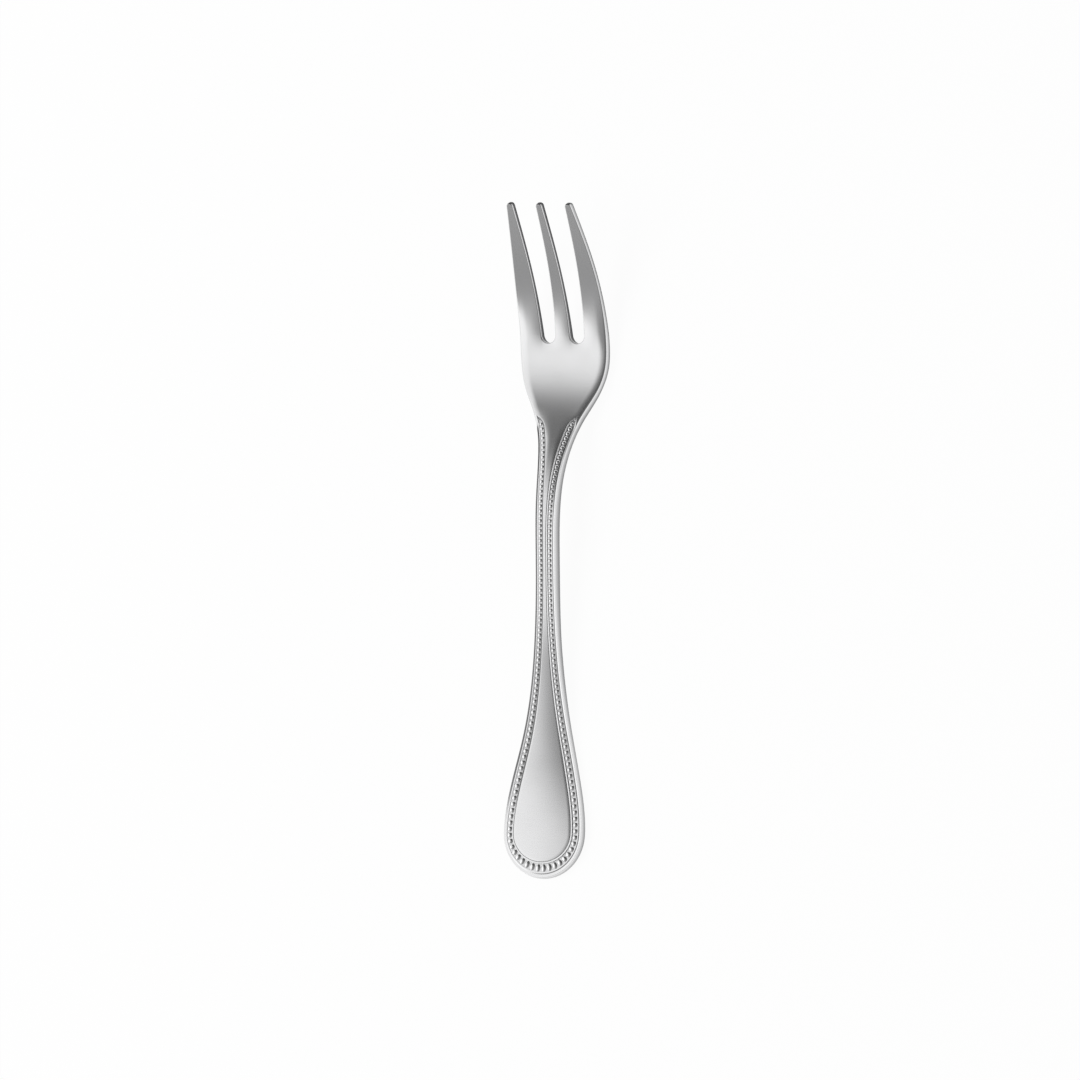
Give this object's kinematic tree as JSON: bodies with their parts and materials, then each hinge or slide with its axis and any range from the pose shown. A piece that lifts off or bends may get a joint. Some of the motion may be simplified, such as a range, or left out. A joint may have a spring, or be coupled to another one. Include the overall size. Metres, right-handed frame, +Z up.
{
  "type": "cake fork",
  "caption": "Slim metal cake fork with straight tapered tines, a shallow bowl, an arched stem and a flared round-ended handle edged with a beaded border.",
  "frame": {"origin": "on the table under the middle of the fork's box", "axes": "+Y towards the tine tips, +X to the right seen from the handle, +Z up from the table"},
  "size_m": [0.0234, 0.155, 0.0169],
  "materials": {
    "polished_steel": "soft polish",
    "border_steel": "bright polish",
    "bead_steel": "bright polish"
  },
  "bodies": {
    "root": {"tine_left": "polished_steel", "tine_middle": "polished_steel", "tine_right": "polished_steel", "bowl": "polished_steel", "neck": "polished_steel", "stem": "polished_steel", "handle": "polished_steel", "handle_end": "polished_steel", "rim_left": "border_steel", "rim_right": "border_steel", "rim_end": "border_steel", "beads_left": "bead_steel", "beads_right": "bead_steel", "beads_end": "bead_steel", "thread_left": "border_steel", "thread_right": "border_steel", "thread_end": "border_steel"}
  },
  "joints": []
}
